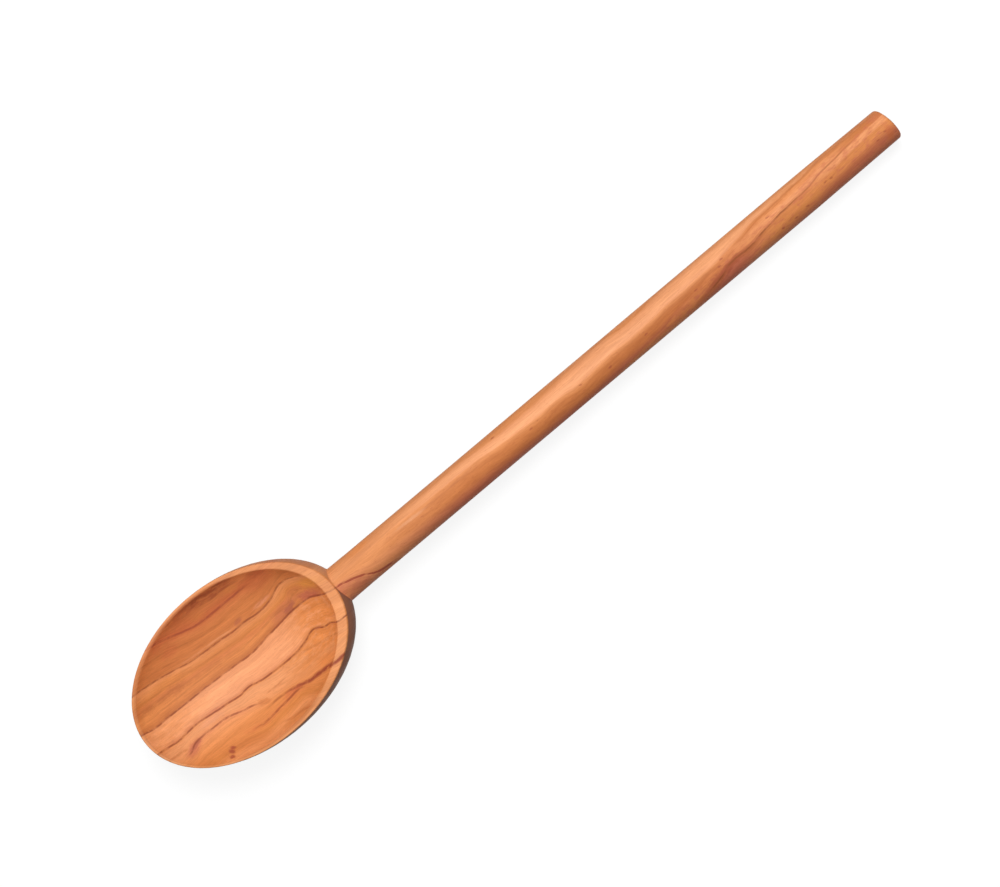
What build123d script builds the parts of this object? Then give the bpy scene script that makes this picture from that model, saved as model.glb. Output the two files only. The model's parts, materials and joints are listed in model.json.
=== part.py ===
from build123d import *
from math import atan, cos, radians, sin, sqrt
import os

# Wooden spoon, carved whole from one piece of olive wood. Millimetres and degrees.
# It is shaped with the axis of the handle on X and the middle of the bowl's body over the origin.
# Then it is laid on a table, which the belly of the bowl and the free end of the handle touch.

# Whole spoon
spoon_length = 305.0

# Outside of the bowl: an egg-shaped body whose long axis dips towards the handle
body_length = 79.5
body_width = 54.2
body_height = 32.0
body_rise = 4.8  # middle of the body above the axis of the handle
body_dip_angle = 6.1

# Rim: the level top of the bowl, broad at the neck, narrow at the sides and the tip
rim_rise = 0.96  # above the crest of the handle
rim_width_neck = 3.1
rim_width_side = 1.3
rim_width_tip = 1.2
rim_round = 0.35
rim_round_share = 0.45  # the most that this may take of the rim's narrowest width

# Hollow of the bowl: the bottom of a larger egg shape whose middle lies above the rim
hollow_depth = 12.0
hollow_lift = 4.0
hollow_turn = 2.0  # the hollow's long axis turns this much to the left of the handle's

# Handle: a straight round stick, a little thicker in the neck and thinner towards its domed end
handle_diameter = 12.5
handle_neck_diameter = 12.9
handle_neck_length = 14.0  # centred on the end of the bowl's body
handle_end_diameter = 11.85
handle_taper_length = 34.0
handle_dome_radius = 16.5
handle_dome_offset = 1.9  # the dome's crest lies this far to the right of the axis
handle_end_round = 1.0
neck_round = 0.4

overrun = 2.0  # how far a blank reaches past the cut that trims it

handle_radius = handle_diameter / 2
handle_neck_radius = handle_neck_diameter / 2
handle_end_radius = handle_end_diameter / 2
rim_height = handle_radius + rim_rise


def egg_shape(length, width, height):
    """A smooth round form on the origin."""
    with BuildPart() as form:
        Sphere(radius=1)
        scale(by=(length / 2, width / 2, height / 2))
    return form.part


def rim_outline():
    """Middle, half length and half width of the ellipse in which the rim's plane cuts the body."""
    dip = radians(body_dip_angle)
    flatness, steepness = 4 / body_length**2, 4 / body_height**2
    above_middle = rim_height - body_rise
    along = flatness * cos(dip) ** 2 + steepness * sin(dip) ** 2
    across = flatness * sin(dip) ** 2 + steepness * cos(dip) ** 2
    skew = (steepness - flatness) * sin(dip) * cos(dip)
    size = 1 - above_middle**2 * (across - skew**2 / along)
    return -above_middle * skew / along, sqrt(size / along), body_width / 2 * sqrt(size)


def lying_angle():
    """Slope of the table that touches the belly and the end of the handle, against the handle."""
    dome_depth = handle_dome_radius - sqrt(handle_dome_radius**2 - handle_end_radius**2)
    foot_x = handle_end - dome_depth - handle_end_round
    foot_z = -handle_end_radius - body_rise
    # The foot of the handle in the body's own axes, and from there the tangent to its ellipse
    dip = radians(body_dip_angle)
    along = foot_x * cos(dip) - foot_z * sin(dip)
    up = foot_x * sin(dip) + foot_z * cos(dip)
    reach = along**2 - (body_length / 2) ** 2
    clearance = up**2 - (body_height / 2) ** 2
    slope = (along * up + sqrt((along * up) ** 2 - reach * clearance)) / reach
    return atan(slope) - dip


rim_middle, rim_half_length, rim_half_width = rim_outline()
tip = rim_middle - rim_half_length
handle_end = tip + spoon_length
neck_start = (body_length - handle_neck_length) / 2

# The edge of the hollow follows the outline of the rim, one rim width inside it
hollow_tip = tip + rim_width_tip
hollow_neck = rim_middle + rim_half_length - rim_width_neck
hollow_half_height = hollow_depth + hollow_lift
share_at_rim = sqrt(1 - (hollow_lift / hollow_half_height) ** 2)
hollow_length = (hollow_neck - hollow_tip) / share_at_rim
hollow_width = 2 * (rim_half_width - rim_width_side) / share_at_rim

# Turned, the hollow leaves the rim narrower on two sides, and the soft edges keep within that width
narrowed_by = (hollow_length - hollow_width) * share_at_rim / 2 * sin(radians(hollow_turn))
narrowest_rim = min(rim_width_side, rim_width_tip) - narrowed_by
rim_edge_round = min(rim_round, rim_round_share * narrowest_rim)

with BuildPart() as carved:
    # Bowl, cut level at the rim
    with Locations(Location((0, 0, body_rise), (0, body_dip_angle, 0))):
        add(egg_shape(body_length, body_width, body_height))
    split(bisect_by=Plane.XY.offset(rim_height), keep=Keep.BOTTOM)

    # Handle, which enters the bowl just below the rim
    with BuildSketch(Plane.XZ):
        with BuildLine():
            Polyline(
                (0, 0),
                (0, handle_neck_radius),
                (neck_start, handle_neck_radius),
                (neck_start + handle_neck_length, handle_radius),
                (handle_end - handle_taper_length, handle_radius),
                (handle_end, handle_end_radius),
                (handle_end + overrun, handle_end_radius),
                (handle_end + overrun, 0),
                close=True,
            )
        make_face()
    revolve(axis=Axis.X)
    fillet(carved.edges(Select.NEW), neck_round)

    # Free end of the handle, domed a little askew
    end_plane = Plane((handle_end, -handle_dome_offset, 0))
    with BuildSketch(end_plane):
        Rectangle(handle_diameter, handle_diameter, align=(Align.CENTER, Align.MIN))
        with Locations((-handle_dome_radius, 0)):
            Circle(handle_dome_radius, mode=Mode.SUBTRACT)
    revolve(axis=Axis(end_plane.origin, end_plane.x_dir), mode=Mode.SUBTRACT)
    fillet(carved.edges(Select.NEW), handle_end_round)

    # Hollow of the bowl, and the soft edges of the rim
    hollow_middle = ((hollow_tip + hollow_neck) / 2, 0, rim_height + hollow_lift)
    with Locations(Location(hollow_middle, (0, 0, hollow_turn))):
        add(egg_shape(hollow_length, hollow_width, 2 * hollow_half_height), mode=Mode.SUBTRACT)
    rim = carved.faces().filter_by(Plane.XY).sort_by(Axis.Z)[-1]
    fillet(rim.edges(), rim_edge_round)

# The spoon as it lies on the table, with the origin under the middle of its whole outline
lean = lying_angle()
table = Plane((0, 0, 0), x_dir=(cos(lean), 0, sin(lean)), z_dir=(-sin(lean), 0, cos(lean)))
with BuildPart() as spoon:
    lying = table.to_local_coords(carved.part)
    outline = lying.bounding_box()
    with Locations((-outline.center().X, -outline.center().Y, -outline.min.Z)):
        add(lying)

os.makedirs("parts", exist_ok=True)
spoon.part.label = "spoon"
export_step(spoon.part, "parts/spoon.step")
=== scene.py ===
import bpy
import json
import math
from mathutils import Matrix, Vector
from mathutils.bvhtree import BVHTree

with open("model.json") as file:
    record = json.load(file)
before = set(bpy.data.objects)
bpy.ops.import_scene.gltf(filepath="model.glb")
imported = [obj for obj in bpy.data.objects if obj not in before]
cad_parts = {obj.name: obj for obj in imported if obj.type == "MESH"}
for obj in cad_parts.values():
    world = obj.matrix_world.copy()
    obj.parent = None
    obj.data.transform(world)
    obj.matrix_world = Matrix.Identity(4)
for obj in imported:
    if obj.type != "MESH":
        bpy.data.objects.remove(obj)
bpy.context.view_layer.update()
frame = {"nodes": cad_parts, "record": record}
spoon = frame["nodes"]["spoon"]

# The spoon's own axes: along the handle towards its free end, to the left, and up out of the bowl
handle = frame["record"]["mounts"][0]
along = Vector(handle["axis"]).normalized()
left = Vector((0, 1, 0))
up = along.cross(left)
bowl_to_mount = 0.13925  # from the middle of the bowl's body to the middle of the handle's mount
bowl_middle = Vector(handle["pos_m"]) - along * bowl_to_mount

# Photograph and camera
photo_width, photo_height = 1000, 887
focal_pixels = 2567.5
sensor_width = 36.0
camera_distance = 0.8097
aim_along, aim_left = 0.10574, 0.00153  # the point in the middle of the picture, from the bowl's middle
lean_right, lean_along = math.radians(8.539), math.radians(-0.324)
handle_rise = math.radians(40.09)  # angle of the handle above the picture's horizontal


def add_camera():
    aim = bowl_middle + along * aim_along + left * aim_left
    back = (up + along * math.tan(lean_along) - left * math.tan(lean_right)).normalized()
    handle_way = (along - back * along.dot(back)).normalized()
    side_way = handle_way.cross(back)
    right = handle_way * math.cos(handle_rise) + side_way * math.sin(handle_rise)
    upward = back.cross(right)
    camera_data = bpy.data.cameras.new("camera")
    camera_data.sensor_width = sensor_width
    camera_data.lens = focal_pixels * sensor_width / photo_width
    camera = bpy.data.objects.new("camera", camera_data)
    bpy.context.scene.collection.objects.link(camera)
    turn = Matrix((right, upward, back)).transposed().to_4x4()
    camera.matrix_world = Matrix.Translation(aim + back * camera_distance) @ turn
    bpy.context.scene.camera = camera
    return camera


camera = add_camera()

# Light: a large soft lamp above, towards the left and the free end, and a white room, dim at the horizon
key_place = Vector((0.3, 0.46, 1.4))
key_size = 0.9
key_power = 14.0
room_top, room_side, room_fall = 0.84, 0.03, 1.5  # brightness overhead and at the horizon
white = (1, 1, 1, 1)

# Floor: dim in the light that it throws back, and nearly white where it is seen, with the spoon's shadow
floor_size = 6.0
floor_dim = (0.06, 0.06, 0.06, 1)
floor_pale = (0.18, 0.18, 0.18, 1)
floor_glow = 0.86


def add_key():
    data = bpy.data.lights.new("key", "AREA")
    data.shape = "DISK"
    data.size = key_size
    data.energy = key_power
    light = bpy.data.objects.new("key", data)
    bpy.context.scene.collection.objects.link(light)
    light.location = key_place
    light.rotation_mode = "QUATERNION"
    light.rotation_quaternion = (-key_place).to_track_quat("-Z", "Y")


add_key()


class Nodes:
    """Short calls that add nodes to one tree and wire them."""

    def __init__(self, tree):
        self.tree = tree
        tree.nodes.clear()

    def add(self, kind, *inputs, out=0, **settings):
        """A node with its settings and its first inputs, each a value or another node's socket."""
        node = self.tree.nodes.new(kind)
        for name, value in settings.items():
            setattr(node, name, value)
        for socket, value in zip(node.inputs, inputs):
            self.put(socket, value)
        return node.outputs[out]

    def put(self, socket, value):
        if isinstance(value, bpy.types.NodeSocket):
            self.tree.links.new(value, socket)
        elif value is not None:
            socket.default_value = value

    def calc(self, operation, *values):
        return self.add("ShaderNodeMath", *values, operation=operation)

    def vector(self, operation, *values, out=0):
        return self.add("ShaderNodeVectorMath", *values, operation=operation, out=out)

    def step(self, value, start, end, low=0.0, high=1.0, smooth=True):
        """Low before start, high after end, and a smooth or straight way between them."""
        kind = "SMOOTHSTEP" if smooth else "LINEAR"
        inputs = (value, start, end, low, high)
        way = self.add("ShaderNodeMapRange", *inputs, interpolation_type=kind, clamp=False)
        return way if smooth else self.calc("MINIMUM", self.calc("MAXIMUM", way, low), high)

    def mix(self, share, first, second, blend="MIX"):
        node = self.tree.nodes.new("ShaderNodeMix")
        node.data_type = "RGBA"
        node.blend_type = blend
        for name, value in (("Factor_Float", share), ("A_Color", first), ("B_Color", second)):
            socket = next(s for s in node.inputs if s.identifier == name)
            self.put(socket, value)
        return next(s for s in node.outputs if s.identifier == "Result_Color")

    def ramp(self, value, stops):
        """Colours by place: stops are pairs of place, from 0 to 1, and colour."""
        node = self.tree.nodes.new("ShaderNodeValToRGB")
        self.put(node.inputs[0], value)
        elements = node.color_ramp.elements
        while len(elements) < len(stops):
            elements.new(0.5)
        for element, (place, colour) in zip(elements, stops):
            element.position = place
            element.color = colour
        return node.outputs[0]

    def curve(self, value, points):
        """A smooth line through points, both of whose numbers lie from 0 to 1."""
        node = self.tree.nodes.new("ShaderNodeFloatCurve")
        self.put(node.inputs["Value"], value)
        line = node.mapping.curves[0].points
        while len(line) < len(points):
            line.new(0.5, 0.5)
        for point, place in zip(line, points):
            point.location = place
        node.mapping.update()
        return node.outputs[0]

    def noise(self, vector, scale, detail=2.0, rough=0.5, out=0):
        node = self.tree.nodes.new("ShaderNodeTexNoise")
        self.put(node.inputs["Vector"], vector)
        node.inputs["Scale"].default_value = scale
        node.inputs["Detail"].default_value = detail
        node.inputs["Roughness"].default_value = rough
        return node.outputs[out]

    def combine(self, *values):
        return self.add("ShaderNodeCombineXYZ", *values)

    def scaled(self, point, factors):
        node = self.tree.nodes.new("ShaderNodeMapping")
        self.put(node.inputs["Vector"], point)
        node.inputs["Scale"].default_value = factors
        return node.outputs[0]

    def seen(self):
        """1 for what the camera sees straight, in a gloss or through glass, and 0 for what only lights."""
        path = self.tree.nodes.new("ShaderNodeLightPath")
        straight = self.calc("MAXIMUM", path.outputs["Is Camera Ray"], path.outputs["Is Glossy Ray"])
        return self.calc("MAXIMUM", straight, path.outputs["Is Transmission Ray"])


def add_world():
    world = bpy.data.worlds.new("world")
    bpy.context.scene.world = world
    world.use_nodes = True
    n = Nodes(world.node_tree)
    direction = n.tree.nodes.new("ShaderNodeTexCoord").outputs["Generated"]
    height = n.add("ShaderNodeSeparateXYZ", direction, out=2)
    rise = n.calc("POWER", n.calc("MAXIMUM", height, 0.0), room_fall)
    glow = n.step(rise, 0.0, 1.0, room_side, room_top, smooth=False)
    room = n.add("ShaderNodeBackground", white, glow)
    backdrop = n.add("ShaderNodeBackground", white, 1.0)
    shown = n.add("ShaderNodeMixShader", n.seen(), room, backdrop)
    n.put(n.tree.nodes.new("ShaderNodeOutputWorld").inputs[0], shown)


add_world()


def add_floor():
    bpy.ops.mesh.primitive_plane_add(size=floor_size, location=(0, 0, 0))
    floor = bpy.context.active_object
    floor.name = "floor"
    material = bpy.data.materials.new("floor")
    material.use_nodes = True
    n = Nodes(material.node_tree)
    dim = n.add("ShaderNodeBsdfDiffuse", floor_dim)
    pale = n.add("ShaderNodeBsdfDiffuse", floor_pale)
    glow = n.add("ShaderNodeEmission", white, floor_glow)
    backdrop = n.add("ShaderNodeAddShader", pale, glow)
    shown = n.add("ShaderNodeMixShader", n.seen(), dim, backdrop)
    n.put(n.tree.nodes.new("ShaderNodeOutputMaterial").inputs[0], shown)
    floor.data.materials.append(material)


add_floor()

mm = 1000  # millimetres in a metre
surface = BVHTree.FromPolygons(
    [corner.co for corner in spoon.data.vertices], [face.vertices for face in spoon.data.polygons])


def on_wood(pixel):
    """The place on the spoon that a pixel of the photograph shows, on the spoon's axes in millimetres."""
    x, y = pixel
    ray = Vector(((x - photo_width / 2) / focal_pixels, (photo_height / 2 - y) / focal_pixels, -1))
    hit = surface.ray_cast(camera.matrix_world.translation, camera.matrix_world.to_3x3() @ ray)[0]
    place = (hit - bowl_middle) * mm
    return Vector((place.dot(along), place.dot(left), place.dot(up)))


# Figure of the wood. Its layers stand nearly upright and run along the spoon.
# A layer's height, here called side, is measured to the left and leans this much towards the top.
layer_lean = 0.15
widest = 32.0  # sides reach from minus this to this


def layer_place(pixel):
    place = on_wood(pixel)
    return place.x, place.y + layer_lean * place.z


# Lines of the figure as the photograph shows them, each from its right end to its left end, in pixels.
# The last part of the crossing line lies at the neck.
bowl_lines = {
    "under_rim": [(234, 575), (220, 583), (206.5, 593.5), (192.5, 602), (179, 612.5), (163.5, 627)],
    "second": [(233, 596), (224, 603), (210, 615), (201, 622), (187, 630), (168, 638), (153, 645)],
    "third": [(303, 574.5), (292.5, 577), (280.5, 583), (270, 600), (260, 611), (245, 621.5), (232, 632.5),
              (213.5, 645), (192.5, 660), (167, 674.5), (148, 686), (136, 694)],
    "soft_band": [(319.5, 592.7), (311, 589), (303, 588), (294.5, 591.5), (290.5, 595), (288.8, 603),
                  (281.5, 609), (271.5, 618), (260, 631), (241, 647), (225, 657), (190, 681),
                  (171.5, 693), (156.5, 704), (138.5, 717.5)],
    "middle": [(335.5, 587.5), (325.5, 593.5), (308, 598.5), (294.6, 609), (281.4, 622), (270, 634),
               (251.5, 653.5), (235.5, 665), (215, 680.5), (195, 696), (171.3, 715.4), (151, 731),
               (142.5, 735.5)],
    "jagged": [(344, 617), (337.7, 621.3), (330, 622.6), (324.5, 626.3), (314.5, 628.8), (310.4, 633),
               (307, 638.7), (303, 645), (290, 658), (270, 674.3), (258, 682), (249.5, 686.3),
               (240, 695.8), (230.5, 702), (215, 712.2), (198, 723.2), (179.7, 740), (160, 753.3)],
    "forked": [(264, 701), (251.5, 706.5), (242.5, 711.5), (230.5, 716), (215.5, 726), (202, 736.5),
               (195, 744), (191, 753)],
    "thick": [(341.5, 657), (332, 664), (316.5, 675), (308, 681), (294.5, 688), (284, 694), (268.5, 707)],
    "branch": [(301, 688), (288, 700), (281, 707), (270, 718), (261.5, 725), (243, 735), (230, 743)],
    "upper_thin": [(289.7, 570.8), (283, 572.8), (277, 579), (270, 590), (259, 604), (253, 612)],
    "right_thin": [(336, 633), (328, 637), (319.5, 643), (311, 648), (302, 653)],
    "low_thin": [(318, 703), (304, 709), (293, 717), (278, 725), (265, 731.5)],
    "short_thin": [(284, 679), (281.5, 681.5), (274, 687.5), (267, 693)],
    "tip_thin": [(190, 747.5), (180, 753.5), (171, 760)],
}
handle_lines = {
    "crossing": [(881, 115), (862, 132), (840, 153), (820.5, 172.5), (805.5, 190), (783.5, 210.5),
                 (764.5, 230), (747, 249), (732, 261.5), (721.5, 276.5), (709, 292.5),
                 (389, 565), (382, 569.5), (374, 573), (366, 574.5), (358, 577), (349, 581), (338, 586.3)],
    "border": [(835.5, 146.5), (819, 160), (804.5, 175), (790.5, 187.5), (776.5, 201.5), (754, 220.5),
               (738, 238.5), (720.5, 259.5), (701, 277), (686, 290.5), (664.5, 309), (649.5, 323.5),
               (634.5, 337.5), (611.5, 356), (581, 385), (558, 401), (533, 422), (517.5, 433.5),
               (506, 441.5), (488.5, 454), (477, 462)],
    "faint": [(673.5, 280), (655, 295), (638, 312), (623, 326), (611.5, 334), (600, 342), (571, 368),
              (540, 398), (512, 422), (483, 446), (454, 468)],
}
# Out of the photograph's sight two lines go on through these places along the spoon and across its layers
hidden_places = {"branch": [(14, -19.5), (28, -22.5)], "crossing": [(150, -9), (78, -9)]}

wood = bpy.data.materials.new("olive_wood")
wood.use_nodes = True
n = Nodes(wood.node_tree)
place = n.tree.nodes.new("ShaderNodeMapping")
place.vector_type = "TEXTURE"
place.inputs["Location"].default_value = bowl_middle
place.inputs["Rotation"].default_value = Matrix((along, left, up)).transposed().to_euler()
place.inputs["Scale"].default_value = (1 / mm, 1 / mm, 1 / mm)
n.put(place.inputs["Vector"], n.tree.nodes.new("ShaderNodeTexCoord").outputs["Object"])
parts = n.tree.nodes.new("ShaderNodeSeparateXYZ")
n.put(parts.inputs[0], place.outputs[0])
u, v, w = parts.outputs[0], parts.outputs[1], parts.outputs[2]
position = n.combine(u, v, w)
lean_part = n.calc("MULTIPLY", w, layer_lean)
straight_side = n.calc("ADD", v, lean_part)

# A slight unevenness that every layer shares
sway_stretch = (0.11, 0.05, 0.05)
sway_reach = 0.9
sway = n.noise(n.scaled(place.outputs[0], sway_stretch), 1.0, detail=5.0, rough=0.6)
sway_part = n.calc("MULTIPLY", n.calc("SUBTRACT", sway, 0.5), sway_reach)
side = n.calc("ADD", straight_side, sway_part)

# The stretches of the spoon over which the guides of the bowl and of the handle run
bowl_start, bowl_end = -42.0, 46.0
handle_start, handle_end = 34.0, 272.0
bowl_share = n.step(u, bowl_start, bowl_end, smooth=False)
handle_share = n.step(u, handle_start, handle_end, smooth=False)
end_gap = 2.0  # a guide that stops this near to the end of its stretch needs no point there


def guide(places, start, end, share):
    """The side at which a line of the figure runs, for each place along the spoon."""
    places = sorted(places)
    first, last = places[0], places[-1]
    if first[0] > start + end_gap:
        places = [(start, first[1])] + places
    if last[0] < end - end_gap:
        places = places + [(end, last[1])]
    scaled = [((x - start) / (end - start), (y + widest) / (2 * widest)) for x, y in places]
    height = n.curve(share, scaled)
    return n.calc("MULTIPLY_ADD", height, 2 * widest, -widest)


guides = {}
stretches = (
    (bowl_lines, bowl_start, bowl_end, bowl_share),
    (handle_lines, handle_start, handle_end, handle_share),
)
for lines, *stretch in stretches:
    for name, pixels in lines.items():
        places = [layer_place(pixel) for pixel in pixels] + hidden_places.get(name, [])
        guides[name] = guide(places, *stretch)


def layers(names, heights):
    """How far a place lies across the layers: each line has its own height, whatever its bends."""
    total = n.calc("MINIMUM", n.calc("SUBTRACT", side, guides[names[0]]), 0.0)
    total = n.calc("ADD", total, heights[0])
    for lower, upper, low, high in zip(names, names[1:], heights, heights[1:]):
        part = n.step(side, guides[lower], guides[upper], 0.0, high - low, smooth=False)
        total = n.calc("ADD", total, part)
    rest = n.calc("MAXIMUM", n.calc("SUBTRACT", side, guides[names[-1]]), 0.0)
    return n.calc("ADD", total, rest)


bowl_order = ["branch", "thick", "forked", "jagged", "middle", "soft_band", "third", "second", "under_rim"]
bowl_heights = [-18.5, -15.5, -10.5, -5.5, 3.0, 7.0, 12.0, 20.0, 24.0]
bowl_layer = layers(bowl_order, bowl_heights)
handle_order = ["crossing", "border", "faint"]
handle_heights = [-4.0, 0.0, 4.5]
handle_layer = layers(handle_order, handle_heights)

# Colours of the wood
peach = (0.93, 0.39, 0.175, 1)
pale_peach = (0.98, 0.43, 0.195, 1)
pink_peach = (0.84, 0.35, 0.18, 1)
soft_peach = (0.85, 0.355, 0.148, 1)
pale_orange = (0.82, 0.315, 0.115, 1)
orange = (0.76, 0.27, 0.08, 1)
bright_orange = (0.86, 0.27, 0.06, 1)
bright_gold = (0.84, 0.33, 0.07, 1)
gold = (0.74, 0.262, 0.072, 1)
amber = (0.73, 0.242, 0.078, 1)
gold_brown = (0.63, 0.205, 0.06, 1)
tawny = (0.68, 0.225, 0.067, 1)
brown = (0.52, 0.16, 0.05, 1)
brown_orange = (0.63, 0.195, 0.058, 1)
rose = (0.64, 0.19, 0.095, 1)
deep_rose = (0.58, 0.155, 0.08, 1)
red_orange = (0.66, 0.18, 0.062, 1)
red_brown = (0.40, 0.085, 0.04, 1)
purple = (0.36, 0.09, 0.065, 1)
dark_brown = (0.25, 0.05, 0.018, 1)
line_brown = (0.30, 0.085, 0.022, 1)
bright = (0.95, 0.47, 0.25, 1)
rim_peach = (0.88, 0.36, 0.15, 1)
neck_orange = (0.72, 0.262, 0.092, 1)
# The next two colours darken the outside of the bowl: darker wood with painted shade, then painted shade on
# its right side
dull_brown_and_shade = (0.42, 0.19, 0.11, 1)
right_shade_brown = (0.2, 0.075, 0.045, 1)

# Colours by height in the layers
lowest_layer, highest_layer = -30.0, 30.0
bowl_zones = [
    (-27, pale_orange), (-23, pale_orange), (-20.5, gold), (-18, orange), (-15, orange),
    (-11.5, pale_orange), (-8, soft_peach), (-6.2, soft_peach), (-5.5, orange), (-4.5, peach),
    (2.4, peach), (3.4, gold_brown), (5, orange), (6.5, orange), (8, amber), (9, gold),
    (11.6, pale_orange), (12.4, tawny), (16.5, tawny), (19, amber), (20.5, red_orange), (22, amber),
    (27, orange),
]
handle_zones = [
    (-9, deep_rose), (-4.2, deep_rose), (-2.4, deep_rose), (-1.5, brown_orange), (-0.5, gold_brown),
    (0.2, pale_orange), (0.7, peach), (2.2, pale_peach), (3.6, peach), (4.7, pale_orange), (6.5, orange),
]


def zone_colour(layer, zones):
    share = n.step(layer, lowest_layer, highest_layer, smooth=False)
    span = highest_layer - lowest_layer
    return n.ramp(share, [((height - lowest_layer) / span, colour) for height, colour in zones])


# Lines of the figure aren't even: they fade and come back along their way
fade_stretch = (0.3, 0.7, 0.7)
faintest = 0.3
fade = n.noise(n.scaled(place.outputs[0], fade_stretch), 1.0, detail=3.0, rough=0.6)
uneven = n.step(fade, 0.32, 0.58, faintest, 1.0)

# Blotches have ragged edges, and narrow ones are finer
rough_reach, fine_reach = 2.4, 0.8
narrow = 1.0  # half width, in mm
blotch_depth = 7.0  # half of what a blotch measures from top to bottom, in mm
blotch_core, blotch_edge = 0.35, 1.15  # shares of its size at which it starts to fade and is gone
rough = n.tree.nodes.new("ShaderNodeSeparateColor")
n.put(rough.inputs[0], n.noise(place.outputs[0], 0.6, detail=3.0, rough=0.6, out=1))
ragged = n.vector("SUBTRACT", n.combine(*rough.outputs), (0.5, 0.5, 0.5))
rough_place = n.vector("MULTIPLY_ADD", ragged, [rough_reach] * 3, position)
fine_place = n.vector("MULTIPLY_ADD", ragged, [fine_reach] * 3, position)


def rise_and_fall(value, marks, height=1.0):
    """From 0 at the first mark to the full height at the second, and back from the third to the fourth."""
    first, second, third, fourth = marks
    rise = n.step(value, first, second, 0.0, height)
    fall = n.step(value, third, fourth, 1.0, 0.0)
    return n.calc("MULTIPLY", rise, fall)


def draw_lines(colour, lines):
    """Each line has its guide, colour, strength, marks across it (to the left) and marks along the spoon."""
    for name, line_colour, strength, across, reach in lines:
        away = n.calc("SUBTRACT", side, guides[name])
        mask = n.calc("MULTIPLY", rise_and_fall(away, across), rise_and_fall(u, reach, strength))
        colour = n.mix(n.calc("MULTIPLY", mask, uneven), colour, line_colour)
    return colour


def draw_blotches(colour, blotches):
    """Each blotch runs from one pixel of the photograph to another and has its half width in mm."""
    for first, last, half_width, blotch_colour, strength in blotches:
        start, end = on_wood(first), on_wood(last)
        middle, reach = (start + end) / 2, (end - start).xy
        half_length = reach.length / 2 + half_width
        x, y = reach.normalized()
        ways = (
            Vector((x, y, 0)) / half_length,
            Vector((-y, x, 0)) / half_width,
            Vector((0, 0, 1)) / blotch_depth,
        )
        where = rough_place if half_width > narrow else fine_place
        spot = n.combine(*(n.vector("DOT_PRODUCT", where, way, out=1) for way in ways))
        away = n.vector("DISTANCE", spot, [way.dot(middle) for way in ways], out=1)
        colour = n.mix(n.step(away, blotch_core, blotch_edge, strength, 0.0), colour, blotch_colour)
    return colour


bowl_colour = draw_blotches(zone_colour(bowl_layer, bowl_zones), (
    ((247, 588), (266, 573), 3.4, red_orange, 0.7),
    ((248, 575), (262, 570), 1.8, red_brown, 0.25),
    ((164, 657), (176, 646), 1.8, red_orange, 0.6),
    ((226, 592), (235, 586), 1.4, gold, 0.5),
    ((190, 622), (203, 613), 1.3, gold, 0.45),
    ((300, 584), (319, 579.5), 2.0, bright_gold, 0.75),
    ((292, 600), (275, 623), 2.4, rose, 0.6),
    ((293, 603), (286, 614), 1.5, purple, 0.6),
    ((296, 597), (321, 592.5), 1.9, deep_rose, 0.85),
    ((306, 597), (322, 594), 0.5, red_brown, 0.6),
    ((240, 619), (236, 624), 1.0, purple, 0.4),
    ((254, 609), (269, 595), 0.8, pink_peach, 0.6),
    ((322, 614), (337, 610), 1.7, bright_orange, 0.6),
    ((318, 664), (335, 652), 2.4, bright_orange, 0.5),
    ((330, 626), (341, 623), 1.1, rose, 0.8),
    ((315, 629), (322, 627), 0.9, purple, 0.7),
    ((259, 704), (269, 700), 1.3, gold_brown, 0.7),
    ((222, 752), (268, 733), 2.8, gold_brown, 0.65),
    ((284, 727), (312, 705), 1.8, gold, 0.6),
    ((200, 728), (222, 712), 1.4, pink_peach, 0.6),
    ((207, 715), (224, 706), 0.9, rose, 0.45),
    ((168, 748), (176, 742), 1.1, purple, 0.5),
    ((199, 740), (190, 756), 1.9, rose, 0.7),
    ((201, 738), (191, 752), 0.8, purple, 0.6),
    ((285, 697), (300, 687), 1.3, red_orange, 0.7),
    ((154, 690), (186, 673), 2.2, gold, 0.7),
    ((184, 683), (166, 696), 1.7, brown, 0.5),
    ((231.5, 747.5), (235, 747.5), 0.7, red_brown, 0.9),
    ((230.5, 751), (234, 752), 0.9, red_brown, 0.9),
    ((231, 757), (234.5, 756.5), 0.7, red_brown, 0.85),
))
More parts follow.
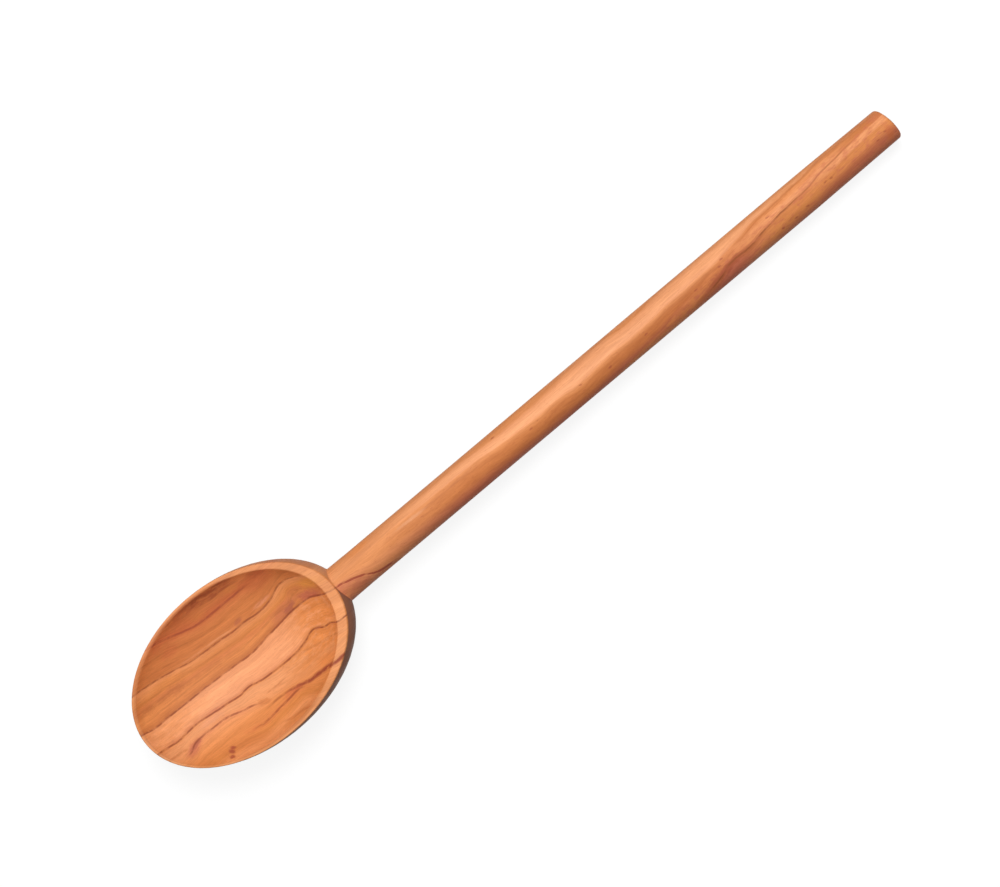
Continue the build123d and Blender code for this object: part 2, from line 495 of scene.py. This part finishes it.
bowl_colour = draw_lines(bowl_colour, (
    ("middle", pale_orange, 0.8, (-10, -7, -0.6, 0.0), (-50, -48, -30, -12)),
    ("middle", orange, 0.85, (-12, -8, -0.6, 0.0), (10, 26, 46, 50)),
    ("middle", bright_orange, 0.45, (-12, -8, -0.6, 0.0), (16, 28, 46, 50)),
    ("jagged", orange, 0.9, (-9, -5, -0.5, 0.0), (4, 16, 46, 50)),
    ("jagged", bright_orange, 0.4, (-9, -5, -0.5, 0.0), (14, 24, 46, 50)),
    ("under_rim", red_brown, 0.65, (-2.7, -2.0, 0.8, 1.4), (-12, -2, 10, 16)),
    ("under_rim", dark_brown, 0.4, (-0.9, -0.3, 0.6, 1.0), (-18, -10, 12, 18)),
    ("under_rim", red_orange, 0.6, (-6.0, -4.0, 0.5, 1.0), (-26, -18, -8, 0)),
    ("second", red_orange, 0.6, (-2.4, -0.2, 0.2, 1.6), (-28, -20, 10, 18)),
    ("second", red_brown, 0.8, (-0.6, -0.1, 0.1, 0.6), (-28, -22, 12, 18)),
    ("third", bright, 0.25, (0.3, 0.7, 0.9, 1.5), (-20, -12, 0, 6)),
    ("third", brown, 0.5, (-1.6, -0.2, 0.2, 0.8), (-14, -6, 10, 22)),
    ("third", dark_brown, 0.65, (-0.45, -0.1, 0.1, 0.45), (-40, -38, 26, 34)),
    ("upper_thin", brown, 0.6, (-0.5, -0.1, 0.1, 0.5), (8, 12, 28, 32)),
    ("second", brown, 0.45, (-4.5, -4.1, -3.9, -3.5), (-36, -28, -2, 8)),
    ("third", brown, 0.4, (1.9, 2.3, 2.5, 2.9), (-38, -32, -10, 2)),
    ("soft_band", brown, 0.4, (1.9, 2.3, 2.5, 2.9), (-38, -30, -6, 6)),
    ("middle", brown, 0.4, (2.6, 3.0, 3.2, 3.6), (-40, -32, 14, 24)),
    ("soft_band", brown, 0.55, (-1.5, -0.3, 0.3, 1.5), (-40, -34, -6, 4)),
    ("soft_band", brown, 0.6, (-1.0, -0.2, 0.2, 1.0), (14, 18, 28, 32)),
))

# Share of the way from the middle of the bowl's body to its outside. The body is an egg shape, in mm.
body_length, body_width, body_height = 79.5, 54.2, 32.0
body_rise, body_dip_angle = 4.8, 6.1
body = n.tree.nodes.new("ShaderNodeMapping")
body.vector_type = "TEXTURE"
n.put(body.inputs["Vector"], place.outputs[0])
body.inputs["Location"].default_value = (0, 0, body_rise)
body.inputs["Rotation"].default_value = (0, math.radians(body_dip_angle), 0)
body.inputs["Scale"].default_value = (body_length / 2, body_width / 2, body_height / 2)
out_share = n.vector("LENGTH", body.outputs[0], out=1)

# The flat of the rim is paler towards the neck, and only some lines show on it.
# Farther on only its outer edge is pale, and painted shade in brown darkens the inner part of the flat.
rim_height = 7.21
neckward = n.step(n.calc("MULTIPLY_ADD", v, 0.7, u), -24.0, 8.0, 0.08, 0.62)
on_rim = n.step(w, rim_height - 0.35, rim_height - 0.05)
inner_edge = n.step(u, 4.0, 33.0, 0.965, 0.86)
pale_part = n.step(out_share, inner_edge, n.calc("ADD", inner_edge, 0.02))
rim_share = n.calc("MULTIPLY", n.calc("MULTIPLY", on_rim, neckward), pale_part)
# Painted shade: brown on the inner part of the rim's flat, away from the neck
rim_inner_shade = n.calc("MULTIPLY", on_rim, n.step(out_share, 0.99, 0.97, 0.0, 0.55))
bowl_colour = n.mix(n.calc("MULTIPLY", rim_inner_shade, n.step(u, 20.0, 4.0)), bowl_colour, brown)
bowl_colour = n.mix(rim_share, bowl_colour, rim_peach)
bowl_colour = draw_lines(bowl_colour, (
    ("middle", brown, 0.5, (-0.2, 0.2, 0.8, 2.6), (-40, -34, 18, 26)),
    ("middle", dark_brown, 0.72, (-0.4, -0.1, 0.1, 0.6), (-44, -42, 46, 48)),
    ("jagged", rose, 0.35, (-0.4, 0.1, 0.6, 1.6), (-40, -30, 12, 24)),
    ("jagged", dark_brown, 0.8, (-0.4, -0.1, 0.1, 0.5), (-44, -42, 46, 48)),
    ("right_thin", brown, 0.5, (-0.6, -0.1, 0.1, 0.6), (12, 17, 27, 32)),
    ("forked", rose, 0.4, (-1.4, -0.3, 0.3, 1.4), (-32, -28, -12, -4)),
    ("forked", dark_brown, 0.7, (-0.5, -0.1, 0.1, 0.5), (-32, -30, -8, -2)),
    ("thick", red_brown, 0.95, (-1.0, -0.3, 0.3, 1.0), (4, 8, 26, 29)),
    ("thick", dark_brown, 0.5, (-0.5, -0.1, 0.1, 0.5), (-6, 0, 26, 29)),
    ("branch", red_orange, 0.6, (-1.2, -0.2, 0.2, 1.2), (-16, -10, 8, 12)),
    ("branch", dark_brown, 0.65, (-0.5, -0.1, 0.1, 0.5), (-12, -6, 8, 11)),
    ("low_thin", brown, 0.45, (-0.6, -0.1, 0.1, 0.6), (-4, 0, 8, 12)),
    ("short_thin", brown, 0.5, (-0.4, -0.1, 0.1, 0.4), (-2, 0, 5, 7)),
    ("tip_thin", brown, 0.6, (-0.6, -0.1, 0.1, 0.6), (-42, -38, -32, -30)),
))

handle_colour = zone_colour(handle_layer, handle_zones)
# Near the neck the handle is more even, and towards its free end the layers change
neck_tone = n.mix(n.step(v, 1.0, 3.5), pale_orange, neck_orange)
handle_colour = n.mix(n.step(u, 50.0, 92.0, 0.75, 0.0), handle_colour, neck_tone)
handle_colour = draw_lines(handle_colour, (
    ("crossing", amber, 0.95, (-1.5, -0.5, 3.0, 4.0), (140, 158, 280, 290)),
    ("crossing", pale_orange, 0.7, (-0.2, 0.4, 3.0, 4.0), (192, 208, 250, 260)),
    ("crossing", orange, 0.85, (-12, -9, -0.6, 0.0), (196, 214, 280, 290)),
    ("crossing", gold, 0.6, (-5.0, -3.5, -1.6, -0.6), (206, 222, 280, 290)),
    ("crossing", deep_rose, 0.9, (-14, -12, -7.0, -4.0), (186, 204, 280, 290)),
    ("crossing", peach, 0.6, (-2.6, -1.6, -0.3, 0.0), (228, 244, 280, 290)),
    ("crossing", peach, 0.35, (0.0, 0.4, 1.4, 2.4), (206, 220, 240, 250)),
    ("crossing", gold_brown, 0.75, (-0.1, 0.1, 3.5, 5.0), (240, 254, 280, 290)),
    ("border", orange, 0.5, (0.0, 0.3, 1.0, 2.0), (212, 222, 244, 254)),
    ("border", brown, 0.4, (-0.6, -0.1, 0.1, 0.6), (212, 222, 248, 256)),
    ("crossing", rose, 0.75, (-8, -6, -0.6, 0.0), (20, 30, 54, 62)),
))
handle_colour = draw_blotches(handle_colour, (
    ((748, 246), (704, 293), 1.5, red_brown, 0.6),
    ((888, 127), (891, 138), 1.6, red_orange, 0.7),
    ((877, 115), (868, 122), 1.4, rose, 0.4),
    ((428, 506), (394, 532), 0.6, bright, 0.4),
    ((420, 520), (380, 549), 1.5, gold_brown, 0.35),
    ((470, 470), (420, 512), 1.2, gold_brown, 0.4),
    ((348, 556), (366, 541), 1.6, bright_orange, 0.35),
))
handle_colour = draw_lines(handle_colour, (
    ("crossing", red_brown, 0.6, (-1.8, -0.6, 0.5, 1.2), (176, 186, 204, 216)),
    ("crossing", brown, 0.4, (-1.4, -0.3, 0.3, 1.2), (196, 206, 225, 240)),
    ("crossing", line_brown, 0.8, (-0.45, -0.1, 0.1, 0.35), (184, 192, 222, 232)),
    ("crossing", line_brown, 0.45, (-0.5, -0.1, 0.1, 0.4), (222, 232, 246, 256)),
    ("crossing", red_brown, 1.8, (-0.4, -0.1, 0.1, 0.6), (20, 30, 52, 60)),
    ("faint", gold_brown, 0.6, (-0.5, -0.1, 0.1, 0.8), (140, 150, 176, 186)),
))
# Small knots, by their middles in pixels
knots = (
    (831, 178), (825.5, 182), (807.5, 206), (796.5, 217.5), (783.5, 228), (767, 217.5), (885, 131),
    (878, 140.5), (721, 259), (719.5, 266.5), (696, 290), (646, 334), (610, 367), (580.5, 385),
    (531, 428.5), (492.5, 438),
)
knot_right, knot_down = 1.2, 1.0  # half of a knot's length, in pixels
knot_half_width = 0.35
handle_colour = draw_blotches(handle_colour, [
    ((x - knot_right, y + knot_down), (x + knot_right, y - knot_down), knot_half_width, red_brown, 0.6)
    for x, y in knots])

# The handle leaves the bowl in a crease, which gets painted shade on the right
neck_place, neck_radius = 36.6, 6.65
from_axis = n.vector("LENGTH", n.combine(0.0, v, w), out=1)
past_neck = n.step(u, neck_place, neck_place + 0.6)
on_handle = n.calc("MULTIPLY", past_neck, n.step(from_axis, neck_radius + 0.2, neck_radius))
colour = n.mix(on_handle, bowl_colour, handle_colour)
# Painted shade in dark brown along the crease, on its right side
crease_shade_around = (6.5, 6.7, 6.85, 7.3)
crease_shade_along = (36.5, 37.5, 41.0, 43.0)
crease_shade = n.calc("MULTIPLY", rise_and_fall(from_axis, crease_shade_around), n.step(v, 0.5, -1.5, 0.0, 0.75))
colour = n.mix(n.calc("MULTIPLY", crease_shade, rise_and_fall(u, crease_shade_along)), colour, dark_brown)

# Grain: soft clouds, long streaks that follow the layers, and short dark pores
layer = n.add("ShaderNodeMapRange", on_handle, 0.0, 1.0, bowl_layer, handle_layer)
grain_place = n.combine(n.calc("MULTIPLY", u, 0.05), layer, n.calc("MULTIPLY", w, 0.12))
clouds = n.noise(grain_place, 0.25)
broad = n.noise(grain_place, 0.6, detail=4.0, rough=0.6)
fine = n.noise(grain_place, 3.2, detail=4.0, rough=0.7)
pore_place = n.combine(n.calc("MULTIPLY", u, 0.7), n.calc("MULTIPLY", layer, 5.0), n.calc("MULTIPLY", w, 4.0))
pores = n.step(n.noise(pore_place, 1.0, detail=1.0), 0.62, 0.76)
for value, dark, pale in ((clouds, 0.94, 1.05), (broad, 0.91, 1.06), (fine, 0.88, 1.08)):
    shade = n.step(value, 0.25, 0.75, dark, pale)
    tone = n.add("ShaderNodeCombineColor", shade, n.calc("POWER", shade, 1.3), n.calc("POWER", shade, 1.5))
    colour = n.mix(1.0, colour, tone, "MULTIPLY")
colour = n.mix(n.calc("MULTIPLY", pores, 0.3), colour, red_brown)

# The outside of the bowl is darker, partly darker wood and partly painted shade
outward = n.step(out_share, 0.965, 0.985)
below_rim = n.step(w, rim_height - 0.8, rim_height - 0.3, 1.0, 0.0)
outside = n.calc("MULTIPLY", outward, n.calc("MULTIPLY", below_rim, n.calc("SUBTRACT", 1.0, on_handle)))
colour = n.mix(n.calc("MULTIPLY", outside, 0.45), colour, dull_brown_and_shade)
# Painted shade on the right side of the bowl's outside, which faces away from the lamp
right_side_shade = n.calc("MULTIPLY", n.step(v, 2.0, -3.0), n.step(w, -6.0, 0.0))
colour = n.mix(n.calc("MULTIPLY", n.calc("MULTIPLY", outside, right_side_shade), 0.85), colour, right_shade_brown)

# Satin finish with a fine relief along the grain
relief_stretch = (0.2, 3.0, 3.0)
relief_height = 0.00004
shader = n.tree.nodes.new("ShaderNodeBsdfPrincipled")
n.put(shader.inputs["Base Color"], colour)
n.put(shader.inputs["Roughness"], n.step(broad, 0.3, 0.7, 0.5, 0.62))
shader.inputs["Specular IOR Level"].default_value = 0.22
relief = n.noise(n.scaled(place.outputs[0], relief_stretch), 1.0, detail=3.0, rough=0.7)
bump = n.tree.nodes.new("ShaderNodeBump")
bump.inputs["Strength"].default_value = 0.35
bump.inputs["Distance"].default_value = relief_height
n.put(bump.inputs["Height"], relief)
n.put(shader.inputs["Normal"], bump.outputs[0])
n.put(n.tree.nodes.new("ShaderNodeOutputMaterial").inputs[0], shader.outputs[0])
for slot in spoon.material_slots:
    slot.material = wood

bpy.context.scene.view_settings.view_transform = "Standard"
